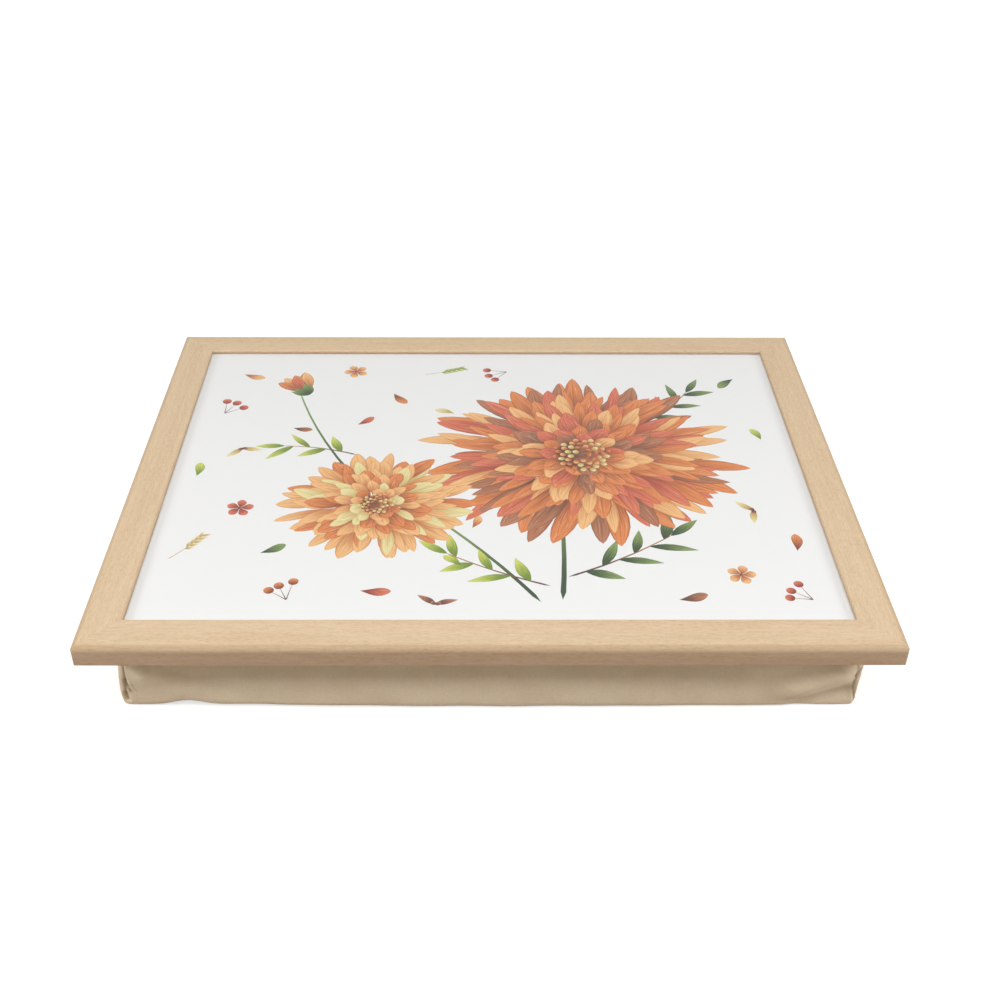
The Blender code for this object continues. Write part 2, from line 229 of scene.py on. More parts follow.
sky = Finish("sky", "worlds")
dim = sky.node("ShaderNodeBackground", {}, {"Color": (1, 0.985, 0.96), "Strength": 0.14})
white = sky.node("ShaderNodeBackground", {}, {"Color": (1, 1, 1), "Strength": 1.0})
both = sky.node("ShaderNodeMixShader", {}, {0: seen_rays(sky), 1: dim, 2: white})
sky.node("ShaderNodeOutputWorld", {}, {"Surface": both})
bpy.context.scene.world = sky.material
print("floor at", floor.location.z)

# %% [markdown]
# Soft boxes light the tray. A wide one hangs level over it. A long strip shines down on the front,
# so steeply that the frame throws a shadow on the upper half of the cushion's wall, and a weaker
# strip does the same behind. Two small ones stand low at the left and right, where their light
# slips under the ends of the frame and brightens the cushion's corners.

# %% Soft boxes
def add_soft_box(name, place, aim, size, power):
    """A rectangular lamp at a place, turned towards a point and unseen by the camera."""
    bpy.ops.object.light_add(type="AREA", location=place)
    lamp = bpy.context.object
    lamp.name = name
    lamp.rotation_euler = (Vector(aim) - Vector(place)).to_track_quat("-Z", "Y").to_euler()
    lamp.data.shape = "RECTANGLE"
    lamp.data.size, lamp.data.size_y = size
    lamp.data.energy = power
    lamp.visible_camera = False


tray_front = Vector((0, cad_box[0].y, cad_box[1].z))
tray_back = Vector((0, cad_box[1].y, cad_box[1].z))
strip_size = (1.3, 0.3)
strip_distance = 1.4
front_rise = math.radians(61)
back_rise = math.radians(63)
front_place = tray_front + strip_distance * Vector((0, -math.cos(front_rise), math.sin(front_rise)))
back_place = tray_back + strip_distance * Vector((0, math.cos(back_rise), math.sin(back_rise)))
add_soft_box("overhead_box", (0, -0.22, 0.9), (0, -0.22, 0), (1.6, 1.0), 3.4)
add_soft_box("front_strip", front_place, tray_front, strip_size, 7.2)
add_soft_box("back_strip", back_place, tray_back, strip_size, 3.0)
for side in (-1, 1):
    add_soft_box("side_box", (side * 1.187, -0.379, 0.534), tray_front, (0.3, 0.3), 6.4)
print("front strip at", [round(part, 2) for part in front_place])

# %% [markdown]
# The frame is one L-shaped moulding, cut into four rails with mitred ends. A solid outer part
# carries a thin lip that reaches over the board. A rail could be drawn as a profile and swept, but
# it is made here the way a joiner would: a square batten, a lip pulled out of its inner side, the
# long edges rounded over, and last the two ends sawn at 45 degrees.
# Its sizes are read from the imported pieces: a rail's width and height from its own box, the
# rabbet's wall from the gap in which the printed face lies, and the lip from the face's top.

# %% Sizes of the moulding
tray_half = cad_box[1].copy()
rail_low, rail_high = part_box("front_rail")
face_low, face_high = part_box("printed_face")
rail_width = rail_high.y - rail_low.y
rail_height = rail_high.z - rail_low.z
joint_gap = tray_half.x - rail_high.x
board_clearance = 0.8 * MM
touch_gap = 0.3 * MM
outer_width = tray_half.x - face_high.x - board_clearance
lip_thickness = rail_high.z - face_high.z - touch_gap
shoulder_round = 4.2 * MM
lip_round = 1.5 * MM
foot_round = 0.7 * MM
fine_round = 0.2 * MM
corner_soft = 1.4 * MM
corner_facets = (14, 36)
mitre_gap = 0.3 * joint_gap
print("moulding in mm:", [round(v / MM, 2) for v in (rail_width, rail_height, outer_width, lip_thickness)])


# %% Helpers for edit mode
def edit_elements(piece, mode, kind, wanted):
    """Select, in edit mode, the vertices, edges or faces for which a test holds."""
    bpy.context.view_layer.objects.active = piece
    bpy.ops.object.mode_set(mode="EDIT")
    bpy.ops.mesh.select_mode(type=mode)
    bpy.ops.mesh.select_all(action="DESELECT")
    mesh = bmesh.from_edit_mesh(piece.data)
    for element in getattr(mesh, kind):
        element.select_set(bool(wanted(element)))
    mesh.select_flush_mode()
    bmesh.update_edit_mesh(piece.data)


def edit_faces(piece, wanted):
    edit_elements(piece, "FACE", "faces", wanted)


def edit_all(piece):
    edit_elements(piece, "VERT", "verts", lambda vertex: True)


def close_rim(piece, rise):
    """Draw the open rim of a surface straight up by a height, or down, and close it with a face."""
    edit_elements(piece, "EDGE", "edges", lambda edge: edge.is_boundary)
    bpy.ops.mesh.extrude_region_move(TRANSFORM_OT_translate={"value": (0, 0, rise)})
    bpy.ops.mesh.edge_face_add()
    bpy.ops.mesh.select_all(action="SELECT")
    bpy.ops.mesh.normals_make_consistent(inside=False)
    bpy.ops.object.mode_set(mode="OBJECT")


def bevel_long_edge(piece, place, width, segments):
    """Round over the edges that run along X at a place, given as Y and Z."""

    def on_line(edge):
        return all((v.co.yz - Vector(place)).length < TOLERANCE for v in edge.verts)

    edit_elements(piece, "EDGE", "edges", on_line)
    bpy.ops.mesh.bevel(offset=width, segments=segments, profile=0.5, affect="EDGES")
    bpy.ops.object.mode_set(mode="OBJECT")


def saw_off(piece, place, facing):
    """Cut away what lies beyond a plane, and close the cut."""
    bpy.ops.object.mode_set(mode="EDIT")
    bpy.ops.mesh.select_all(action="SELECT")
    bpy.ops.mesh.bisect(
        plane_co=place, plane_no=facing, use_fill=True, clear_outer=True, threshold=TOLERANCE
    )
    bpy.ops.object.mode_set(mode="OBJECT")


# %% One rail, made along X and then turned to its side
SIDES = ("front", "right", "back", "left")


def seen_from(side, half):
    """A rectangle's half sizes as seen from a side: along it and out through it."""
    return half if side in ("front", "back") else half.yx


def make_rail(side, half_length, half_span):
    """A length of moulding on one side of the tray, with its ends sawn at 45 degrees."""
    outer, wall, inner = -half_span, outer_width - half_span, rail_width - half_span
    top, foot, under_lip = rail_high.z, rail_low.z, rail_high.z - lip_thickness
    middle = ((outer + wall) / 2, (top + foot) / 2)
    size = (2 * half_length, outer_width, rail_height)
    bpy.ops.mesh.primitive_cube_add(size=1, location=(0, *middle), scale=size)
    rail = bpy.context.object
    rail.name = f"{side}_rail_moulding"
    bpy.ops.object.transform_apply()
    bpy.ops.object.mode_set(mode="EDIT")
    bpy.ops.mesh.select_all(action="SELECT")
    bpy.ops.mesh.bisect(plane_co=(0, 0, under_lip), plane_no=(0, 0, 1))
    edit_faces(rail, lambda face: face.normal.y > 0.9 and face.calc_center_median().z > under_lip)
    bpy.ops.mesh.extrude_region_move(TRANSFORM_OT_translate={"value": (0, inner - wall, 0)})
    bpy.ops.object.mode_set(mode="OBJECT")
    bevel_long_edge(rail, (outer, top), shoulder_round, 12)
    bevel_long_edge(rail, (inner, top), lip_round, 6)
    bevel_long_edge(rail, (outer, foot), foot_round, 5)
    bevel_long_edge(rail, (inner, under_lip), fine_round, 2)
    for end in (-1, 1):
        saw_off(rail, (end * (half_length - mitre_gap), outer, 0), (end, 1, 0))
        for turned in corner_facets:
            facing = Vector((end * math.sin(math.radians(turned)), -math.cos(math.radians(turned)), 0))
            centre = Vector((end * (half_length - corner_soft), outer + corner_soft, 0))
            saw_off(rail, centre + facing * corner_soft, facing)
    rail.rotation_euler.z = SIDES.index(side) * math.pi / 2
    bpy.ops.object.transform_apply()
    bpy.ops.object.shade_smooth_by_angle(angle=math.radians(35))
    return rail


rails = {}
for side in SIDES:
    rails[side] = make_rail(side, *seen_from(side, tray_half.xy))
    print(side, "rail:", len(rails[side].data.polygons), "faces")

# %% [markdown]
# Steel V-nails hold each mitre together from below, and flat framer's points are pushed into the
# rabbet's wall to keep the board in. Each sits in a slot in the wood. The slots are cut with
# slightly fattened copies of the nails themselves, so every slot fits its own nail.

# %% Slots for the V-nails and the framer's points
def make_cutter(names, grow, reach):
    """One mesh of these nodes' shapes, fattened, with their undersides pulled down by a reach."""
    cutter = bpy.data.objects.new("cutter", bpy.data.meshes.new("cutter"))
    bpy.context.collection.objects.link(cutter)
    shapes = bmesh.new()
    for name in names:
        shapes.from_mesh(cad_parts[name].data)
    bmesh.ops.remove_doubles(shapes, verts=shapes.verts, dist=TOLERANCE)
    shapes.to_mesh(cutter.data)
    shapes.free()
    lowest = min(v.co.z for v in cutter.data.vertices)
    edit_all(cutter)
    bpy.ops.transform.shrink_fatten(value=grow, use_even_offset=True)
    edit_elements(cutter, "VERT", "verts", lambda v: v.co.z < lowest)
    bpy.ops.transform.translate(value=(0, 0, -reach))
    bpy.ops.object.mode_set(mode="OBJECT")
    return cutter


def apply_modifier(piece, kind, **settings):
    """Add a modifier with these settings and apply it at once."""
    modifier = piece.modifiers.new(kind.lower(), kind)
    for name, value in settings.items():
        setattr(modifier, name, value)
    bpy.context.view_layer.objects.active = piece
    bpy.ops.object.modifier_apply(modifier=modifier.name)


def cut_slots(pieces, names, grow, reach=0.0):
    """Cut slots for these nodes into some pieces."""
    cutter = make_cutter(names, grow, reach)
    for piece in pieces:
        apply_modifier(piece, "BOOLEAN", object=cutter, operation="DIFFERENCE", solver="EXACT")
    bpy.data.objects.remove(cutter)


def nodes_called(start):
    """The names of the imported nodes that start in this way."""
    return [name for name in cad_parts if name.startswith(start)]


slot_room = 0.15 * MM
nail_reach = 1 * MM
nail_names = nodes_called("v_nail")
point_names = nodes_called("framers_point")
cut_slots(rails.values(), nail_names, slot_room, nail_reach)
cut_slots(rails.values(), point_names, slot_room)
print("slots cut, so the front rail has", len(rails["front"].data.polygons), "faces")

# %% [markdown]
# The wood is beech under a thin satin lacquer. Its grain is quiet: broad soft tones along the
# rail, finer streaks, and the short reddish flecks that tell beech from other pale woods. Each of
# these is noise that is long along the grain and narrow across it, read from the piece's own
# coordinates, turned by a quarter for the side rails so that the grain follows every rail.
# Painted shade darkens the rounded outer edge, the front face below it and the lip's inner face.

# %% Beech
def make_beech(name, quarter, shift):
    """Beech whose grain runs along X, or along Y after a quarter turn."""
    beech = Finish(name)
    place = beech.place()

    def grain(along, across, detail=2.0, roughness=0.5):
        size = (along, across, across)
        return beech.noise(place, size, detail, roughness, -quarter * math.pi / 2, shift)

    tone = beech.ramp(grain(160 * MM, 9 * MM, 2), 0.3, 0.7)
    streaks = beech.ramp(grain(34 * MM, 1.1 * MM, 4, 0.6), 0.32, 0.68)
    flecks = beech.ramp(grain(3.2 * MM, 0.36 * MM, 1), 0.52, 0.7) * beech.ramp(tone, 0, 1, 0.6, 1)
    mottle = beech.ramp(grain(11 * MM, 1.6 * MM, 3, 0.65), 0.36, 0.64)
    pores = beech.ramp(grain(1.6 * MM, 0.14 * MM, 1), 0.6, 0.74)
    fibres = grain(7 * MM, 0.22 * MM, 2, 0.6)
    colour = beech.mix(tone, srgb(223, 199, 164), srgb(218, 191, 155))
    colour = beech.mix(streaks * 0.4, colour, srgb(232, 212, 180))
    colour = beech.mix(mottle * 0.3, colour, srgb(207, 178, 141))
    colour = beech.mix(flecks * 0.55, colour, srgb(184, 145, 108))
    colour = beech.mix(pores * 0.35, colour, srgb(170, 133, 99))
    colour = beech.mix(beech.ramp(fibres, 0.36, 0.66, 0, 0.34), colour, srgb(198, 166, 130))
    # What follows paints shade into the colour: the masks find the outer side, the lip and the depth below
    # the top.
    parts = beech.node("ShaderNodeSeparateXYZ", {}, {0: place})
    off_middle = abs(parts.out("X" if quarter else "Y"))
    outer = tray_half.x if quarter else tray_half.y
    drop = (rail_high.z - parts.out("Z")) / shoulder_round
    drop = drop.maths("MINIMUM", 1)
    shoulder = beech.ramp(off_middle, outer - 9 * MM, outer - 6 * MM)
    inner = outer - rail_width
    steep = drop * (shoulder_round / lip_round)
    lip = beech.ramp(off_middle, inner + fine_round, inner + lip_round, 1, 0)
    lip = lip * steep.maths("MINIMUM", 1)
    # Painted shade: the front face, the lower part of the rounded edge and the lip's inner face are
    # darkened by how far below the top they lie.
    colour = beech.mix(drop**3 * shoulder + lip, colour, (0.72, 0.65, 0.63), "MULTIPLY")
    # Painted shade on the upper part of the rounded outer edge.
    shoulder_shade = beech.ramp(drop, 0, 0.12) * beech.ramp(drop, 0.2, 0.6, 1, 0) * shoulder
    colour = beech.mix(shoulder_shade, colour, (0.8, 0.755, 0.69), "MULTIPLY")
    relief = fibres * 0.5 + (1 - pores) * 0.6 + (1 - flecks) * 0.3
    return beech.surface({
        "Base Color": colour,
        "Roughness": beech.ramp(streaks, 0, 1, 0.5, 0.4) + pores * 0.1,
        "Specular IOR Level": 0.42,
        "Normal": beech.bump(relief, 0.05 * MM, 0.5),
    })


def dress(piece, material):
    """Give a piece its finish, in place of any that it came with."""
    piece.data.materials.clear()
    piece.data.materials.append(material)


for number, side in enumerate(SIDES):
    shift = (0.31 * number, 0.17 * number, 0.07 * number)
    rail = rails[side]
    dress(rail, make_beech(f"beech_{side}", number % 2, shift))
    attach(rail, "root")
    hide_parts(f"{side}_rail")
print("beech on", len(rails), "rails")

# %% [markdown]
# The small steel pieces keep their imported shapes: wire staples, wedge-shaped nails and flat points
# are as plain as that. They only need bright, slightly scratched steel. The board keeps its shape
# too, and gets the look of pressed fibres and chips.

# %% Steel and fibreboard
def make_steel():
    steel = Finish("bright_steel")
    place = steel.place()
    scratches = steel.noise(place, (0.15 * MM, 0.15 * MM, 4 * MM), 3, 0.6)
    blotches = steel.noise(place, (2.5 * MM, 2.5 * MM, 2.5 * MM), 2)
    colour = steel.mix(steel.ramp(blotches, 0.4, 0.7), srgb(200, 200, 202), srgb(172, 170, 168))
    return steel.surface({
        "Base Color": colour,
        "Metallic": 1.0,
        "Roughness": steel.ramp(scratches, 0.3, 0.7, 0.24, 0.42),
        "Normal": steel.bump(scratches, 0.02 * MM, 0.4),
    })


def make_fibreboard():
    board = Finish("fibreboard")
    place = board.place()
    fibres = board.noise(place, (1.4 * MM, 0.35 * MM, 0.35 * MM), 4, 0.65)
    chips = board.noise(place, (0.5 * MM, 2.2 * MM, 0.5 * MM), 3)
    clouds = board.noise(place, (30 * MM, 30 * MM, 30 * MM), 2)
    colour = board.mix(board.ramp(fibres, 0.3, 0.7), srgb(126, 92, 62), srgb(158, 122, 86))
    colour = board.mix(board.ramp(chips, 0.62, 0.76, 0, 0.5), colour, srgb(92, 64, 42))
    colour = board.mix(board.ramp(clouds, 0.3, 0.7, 0, 0.2), colour, srgb(112, 82, 56))
    return board.surface({
        "Base Color": colour,
        "Roughness": board.ramp(fibres, 0.3, 0.7, 0.86, 0.74),
        "Normal": board.bump(fibres + chips * 0.6, 0.08 * MM, 0.5),
    })


steel = make_steel()
staple_names = nodes_called("staple")
for name in [*nail_names, *point_names, *staple_names]:
    dress(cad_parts[name], steel)
dress(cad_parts["tray_board"], make_fibreboard())
print("steel on", len(nail_names) + len(point_names) + len(staple_names), "pieces")

# %% [markdown]
# The cushion's cover is made as its maker would cut it: flat. The floor lies in the middle of one
# sheet, with a flap on each side for the wall and its hem, and the four corner squares are cut out.
# The sheet's own flat coordinates are kept as a UV map, so the slubs in its threads follow the
# cloth wherever it is folded. The sheet's lines lie close together near the folds and seams, and
# wide apart elsewhere.

# %% The flat sheet
cloth_low, cloth_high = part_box("cushion_top_cloth")
bag_half = cloth_high.xy
wall_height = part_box("cushion_cover")[1].z
cloth_thickness = 0.8 * MM
cell_width = 8 * MM
corner_round = 5.5 * MM
edge_round = 5 * MM
FLOOR_STEPS = (0.6, 1.2, 1.9, 2.7, 3.6, 4.7, 6.1, 8, 10.5, 13.5, 17, 21)
WALL_STEPS = (
    0.6, 1.3, 2.1, 3.2, 4.6, 6.4, 8.6, 11, 13.6, 16.3, 19, 21.7, 24.4, 27.2, 30.5, 34.5, 39, 43.5, 46.8,
)
HEM_STEPS = (0.5, 3, 8, 13, 17)
CORNER_SQUARENESS = {(-1, -1): 2.6, (1, -1): 4, (1, 1): 3, (-1, 1): 2.4}
CORNER_REACH = 14


def flat_lines(half):
    """The sheet's lines across one axis, from the edge of one hem to the edge of the other."""
    inner = half - FLOOR_STEPS[-1] * MM
    count = round(2 * inner / cell_width)
    middle = [inner * (2 * number / count - 1) for number in range(1, count)]
    side = [half - step * MM for step in reversed(FLOOR_STEPS)]
    side += [half, *(half + step * MM for step in WALL_STEPS), half + wall_height]
    side += [half + wall_height + step * MM for step in HEM_STEPS]
    return [-line for line in reversed(side)] + middle + side


def in_corner_square(face):
    middle = face.calc_center_median()
    return abs(middle.x) > bag_half.x and abs(middle.y) > bag_half.y


def make_flat_sheet():
    lines = flat_lines(bag_half.x), flat_lines(bag_half.y)
    counts = [len(each) - 1 for each in lines]
    bpy.ops.mesh.primitive_grid_add(x_subdivisions=counts[0], y_subdivisions=counts[1], size=2)
    sheet = bpy.context.object
    sheet.name = "cotton_cover"
    for vertex in sheet.data.vertices:
        column, row = (round((vertex.co[axis] + 1) / 2 * counts[axis]) for axis in (0, 1))
        vertex.co = (lines[0][column], lines[1][row], 0)
    sheet.data.uv_layers[0].name = "weave"
    for loop, uv in zip(sheet.data.loops, sheet.data.uv_layers["weave"].data):
        uv.uv = sheet.data.vertices[loop.vertex_index].co.xy
    edit_faces(sheet, in_corner_square)
    bpy.ops.mesh.delete(type="FACE")
    bpy.ops.object.mode_set(mode="OBJECT")
    return sheet


cover = make_flat_sheet()
print("flat sheet:", len(cover.data.polygons), "faces")


# %% Fold it up and sew the corners
def clamp(value, low, high):
    return max(low, min(value, high))


def rounded(away, reach, squareness):
    """A step away from a corner's centre, drawn in so that squares become rounded squares."""
    size = sum(abs(part) ** squareness for part in away) ** (1 / squareness)
    return away * (reach / size) if size else away


def hump(distance, width):
    """A smooth hump of height 1 that has died away at about twice its width."""
    return math.exp(-((distance / width) ** 2))


def fold_up(flat):
    """Where a point of the flat sheet lies once the walls stand and the hem is turned in."""
    corner = (1 if flat.x > 0 else -1, 1 if flat.y > 0 else -1)
    squareness = CORNER_SQUARENESS[corner]
    past = max(abs(flat.x) - bag_half.x, abs(flat.y) - bag_half.y, 0)
    height = min(past, wall_height)
    inset = max(past - wall_height, 0)
    plan, core = Vector((0, 0)), Vector((0, 0))
    for axis in (0, 1):
        half = bag_half[axis]
        plan[axis] = clamp(flat[axis], -half, half) * (half - inset) / half
        core[axis] = clamp(plan[axis], corner_round - half + inset, half - inset - corner_round)
    away = plan - core
    spread = max(abs(away.x), abs(away.y))
    outward = rounded(away, 1, squareness)
    out, down = edge_round - corner_round + spread, edge_round - height
    if out > 0 and down > 0:
        off_corner = (Vector((abs(plan.x), abs(plan.y))) - bag_half).length
        local = 2 + (squareness - 2) * hump(off_corner, CORNER_REACH * MM)
        out, down = rounded(Vector((out, down)), max(out, down), local)
        spread = corner_round - edge_round + out
        height = edge_round - down
    return (core + outward * spread).to_3d() + Vector((0, 0, height))


for vertex in cover.data.vertices:
    vertex.co = fold_up(vertex.co)
sewing_reach = 0.02 * MM
edit_all(cover)
bpy.ops.mesh.remove_doubles(threshold=sewing_reach)
bpy.ops.mesh.flip_normals()
bpy.ops.object.mode_set(mode="OBJECT")
apply_modifier(cover, "SUBSURF", levels=1, uv_smooth="NONE")
print("sewn cover:", len(cover.data.polygons), "faces")

# %% [markdown]
# Beads push the walls out a little, most in the middle of each side, and the cloth answers with
# soft folds. A fold is written as a stroke on its wall: from one point to another in millimetres
# along the wall and up it, then its width and how far it stands out, or in when negative. Some
# strokes are the corner seams, whose stitches draw the cloth into a groove. Where a lower corner
# is short of beads it is tucked in, and along each side the lower edge is drawn up a little. A
# full corner is pushed out along X instead, by a length that shrinks by its lean further up.

# %% Folds, seams and tucks
STROKES = {
    "front": (
        (-198.8, 46, -199.1, 21, 0.55, -0.9), (-199.1, 22, -199.1, 18, 1, -1.7),
        (-199.3, 17, -199.7, 10, 0.7, -1), (-198.6, 18, -196.8, 12, 0.7, -1),
        (-199.7, 10, -199.7, 6, 1.5, -2), (-195.4, 18, -194.4, 13, 0.7, -0.4),
        (-197, 40, -188, 32, 10, 5), (-188, 27, -172, 12, 6, 1.5), (-176, 32, -154, 23, 7, -1.2),
        (-150, 18, -128, 5, 5, -0.5), (-60, 30, -20, 14, 9, -0.6), (40, 16, 85, 28, 8, -0.5),
        (199, 46, 199.5, 20, 0.8, -0.8), (199.5, 20, 203, 1, 0.7, -0.8),
        (201.5, 31, 199.3, 26, 0.9, -0.9), (200.6, 27, 197.4, 25, 0.7, -0.4),
        (194, 41, 188, 37, 9, 1.5), (192, 28, 168, 17, 8, 6), (180, 38, 148, 36, 10, 4.8),
        (196, 13, 172, 5, 5, -3), (136, 30, 104, 20, 7, -0.6),
    ),
    "right": (
        (-151, 46, -150.6, 2, 0.8, -0.6), (151, 46, 151.2, 2, 0.8, -1), (-140, 30, -112, 12, 5, -1.3),
        (-124, 34, -96, 20, 4, 0.8), (-30, 24, 4, 10, 8, -0.8), (60, 10, 96, 26, 7, -0.8),
        (146, 34, 128, 12, 4, -1.4),
    ),
    "back": (
        (-201.6, 46, -201, 3, 0.8, -1), (201.4, 46, 201, 3, 0.8, -1), (-192, 32, -168, 10, 5, -1.5),
        (-172, 34, -148, 16, 4, 0.8), (-60, 12, -12, 26, 9, -0.8), (70, 26, 110, 10, 8, -0.7),
        (192, 30, 172, 8, 4, -1.4),
    ),
    "left": (
        (-151, 46, -150.8, 2, 0.8, -1), (151.4, 46, 151, 2, 0.8, -0.6), (-142, 28, -118, 8, 5, -1.3),
        (-70, 28, -36, 14, 8, -0.8), (20, 12, 52, 26, 7, -0.7), (144, 32, 126, 14, 4, -1.2),
        (132, 34, 112, 22, 4, 0.7),
    ),
}
EDGE_LIFTS = {
    "front": ((-168, 12, 4.4), (-137, 19, 1.3), (-95, 42, 0.6)),
    "right": ((-40, 20, 4.4),),
    "back": ((84, 22, 4.4),),
    "left": ((-58, 20, 4.4),),
}
CORNER_TUCKS = {(-1, -1): (1.4, 1.2), (1, -1): (0, 1.5), (1, 1): (1, 1), (-1, 1): (1.4, 1.4)}
CORNER_PUSHES = {(-1, -1): (2.9, 0.13), (1, -1): (0.9, 0), (1, 1): (1.4, 0.05), (-1, 1): (1.6, 0.06)}
BULGE = 1.5
WALL_REACH = 22
FLOOR_REACH = 16
TUCK_WIDTH = 18
TUCK_REACH = 30
SEAM_REACH = 7


def on_wall(side, place):
    """A place in millimetres as seen from a wall, its share of the half length and its depth."""
    turned = Matrix.Rotation(-SIDES.index(side) * math.pi / 2, 3, "Z") @ place / MM
    length, span = seen_from(side, bag_half) / MM
    return turned, turned.x / length, turned.y + span


def off_stroke(point, stroke):
    """The distance from a point on a wall to a stroke."""
    start, end = Vector(stroke[0:2]), Vector(stroke[2:4])
    share = clamp((point - start).dot(end - start) / (end - start).length_squared, 0, 1)
    return (point - start.lerp(end, share)).length


def wall_shift(side, place):
    """How far the cloth at a place moves out from one wall and up."""
    turned, share, behind = on_wall(side, place)
    if behind > WALL_REACH:
        return 0, 0
    near = clamp(1 - behind / WALL_REACH, 0, 1) ** 2
    high = clamp(turned.z / (wall_height / MM), 0, 1)
    point = Vector((turned.x, turned.z))
    out = BULGE * math.cos(clamp(share, -1, 1) * math.pi / 2) * (1 - high * high)
    out += 0.5 * noise.noise(Vector((turned.x / 26, turned.z / 16, SIDES.index(side) * 9))) * (1 - high)
    foot = 1 - hump(turned.z, 2.5) * 0.6
    for stroke in STROKES[side]:
        distance = off_stroke(point, stroke)
        if distance < 3 * stroke[4]:
            out += stroke[5] * hump(distance, stroke[4]) * foot
    lift = sum(rise * hump(turned.x - middle, width) for middle, width, rise in EDGE_LIFTS[side])
    up = lift * clamp(1 - high / 0.45, 0, 1)
    return out * near, up * clamp(1 - behind / FLOOR_REACH, 0, 1)


def shape_cloth(place):
    """A place on the cover after the beads, the folds and the stitches have shaped it."""
    shaped = place.copy()
    for number, side in enumerate(SIDES):
        out, up = wall_shift(side, place)
        turn = Matrix.Rotation(number * math.pi / 2, 3, "Z")
        shaped += turn @ Vector((0, -out * MM, 0))
        shaped.z += up * MM
    corner = (math.copysign(1, place.x), math.copysign(1, place.y))
    gap = Vector((bag_half.x - abs(place.x), bag_half.y - abs(place.y), 0)) / MM
    push, lean = CORNER_PUSHES[corner]
    push = max(push - lean * max(place.z / MM - 9, 0), -0.5)
    fade = hump(gap.length, CORNER_REACH) * clamp(4 - place.z / (12 * MM), 0, 1)
    shaped.x += corner[0] * push * fade * MM
    low = clamp(1 - place.z / (0.4 * wall_height), 0, 1)
    for axis, tuck in enumerate(CORNER_TUCKS[corner]):
        fade = hump(gap[1 - axis], TUCK_WIDTH) * clamp(1 - gap[axis] / TUCK_REACH, 0, 1)
        shaped[axis] -= corner[axis] * tuck * low * fade * MM
    ripple = noise.noise(Vector((place.z / MM / 3.2, corner[0] * 7, corner[1] * 5)))
    ripple *= hump(gap.length, SEAM_REACH)
    shaped -= Vector((*corner, 0)) * ripple * 0.4 * MM
    return shaped


def crease_at(place):
    """How deep in a seam or a narrow crease a place on the cover lies, from 0 to 1."""
    depth = 0
    for side in SIDES:
        turned, _, behind = on_wall(side, place)
        if behind > 5:
            continue
        for stroke in STROKES[side]:
            if stroke[4] < 2 and stroke[5] < 0:
                away = off_stroke(Vector((turned.x, turned.z)), stroke)
                depth = max(depth, hump(away, stroke[4] * 0.8) * min(-stroke[5], 1))
    return depth


# How deep each point lies in a seam or narrow crease is kept, so that shade can be painted there.
creases = cover.data.attributes.new("crease", "FLOAT", "POINT")
for vertex, crease in zip(cover.data.vertices, creases.data):
    crease.value = crease_at(vertex.co)
    vertex.co = shape_cloth(vertex.co)
    lumps = noise.noise(vertex.co / (24 * MM)) + 0.4 * noise.noise(vertex.co / (9 * MM))
    off_end = clamp(bag_half.x - abs(vertex.co.x), 0, 20 * MM)
    under = clamp(1 - vertex.co.z / (2 * MM), 0, 1) * off_end / (20 * MM)
    vertex.co.z = max(vertex.co.z + under * (0.5 + lumps) * 0.4 * MM, 0.02 * MM)
beads = cover.copy()
beads.data = cover.data.copy()
print("lowest point of the cover in mm:", round(min(v.co.z for v in cover.data.vertices) / MM, 3))

# %% Thickness and staple holes
apply_modifier(cover, "SOLIDIFY", thickness=cloth_thickness, offset=-1)
staple_room = 0.2 * MM
cut_slots([cover], staple_names, staple_room)
cover.data.polygons.foreach_set("use_smooth", [True] * len(cover.data.polygons))
print("cover with its thickness:", len(cover.data.polygons), "faces")


# %% Cream cotton
def make_cotton():
    """Cotton with slubs, the thicker stretches of its threads, along the cloth and across it."""
    cotton = Finish("cream_cotton_weave")
    flat = cotton.node("ShaderNodeUVMap", {"uv_map": "weave"})
    along = cotton.noise(flat, (14 * MM, 0.5 * MM, 1), 2, 0.6)
    across = cotton.noise(flat, (0.5 * MM, 11 * MM, 1), 2, 0.6)
    slubs = cotton.ramp(along, 0.55, 0.75) + cotton.ramp(across, 0.57, 0.76)
    clouds = cotton.noise(flat, (22 * MM, 22 * MM, 1), 3, 0.6)
    mottle = cotton.noise(flat, (1.6 * MM, 1.6 * MM, 1), 2, 0.6)
    colour = cotton.mix(cotton.ramp(clouds, 0.35, 0.65), COTTON_LIGHT, COTTON_WARM)
    colour = cotton.mix(cotton.ramp(mottle, 0.3, 0.7, 0, 0.22), colour, COTTON_SHADE)
    colour = cotton.mix(THREAD_GAPS, colour, COTTON_SHADE)
    colour = cotton.mix(slubs * 0.14, colour, COTTON_LIGHT)
    # Painted shade: the cloth is darkened in its seams and narrow creases, more where it lies deeper in
    # them.
    crease = cotton.node("ShaderNodeAttribute", {"attribute_name": "crease"}).out("Fac")
    crease_shade = crease * cotton.ramp(mottle, 0.2, 0.8, 0.5, 0.9)
    colour = cotton.mix(crease_shade, colour, (0.42, 0.32, 0.24), "MULTIPLY")
    wrinkles = cotton.noise(cotton.place(), (7 * MM, 7 * MM, 5 * MM), 3, 0.55)
    soft = cotton.bump(wrinkles, 0.35 * MM, 0.5)
    return cotton.surface({
        "Base Color": colour,
        "Roughness": cotton.ramp(mottle, 0.3, 0.7, 0.88, 0.94),
        "Specular IOR Level": 0.2,
        "Sheen Weight": 0.18,
        "Sheen Roughness": 0.5,
        "Normal": cotton.bump(slubs * 0.25, 0.07 * MM, 0.7, soft),
    })


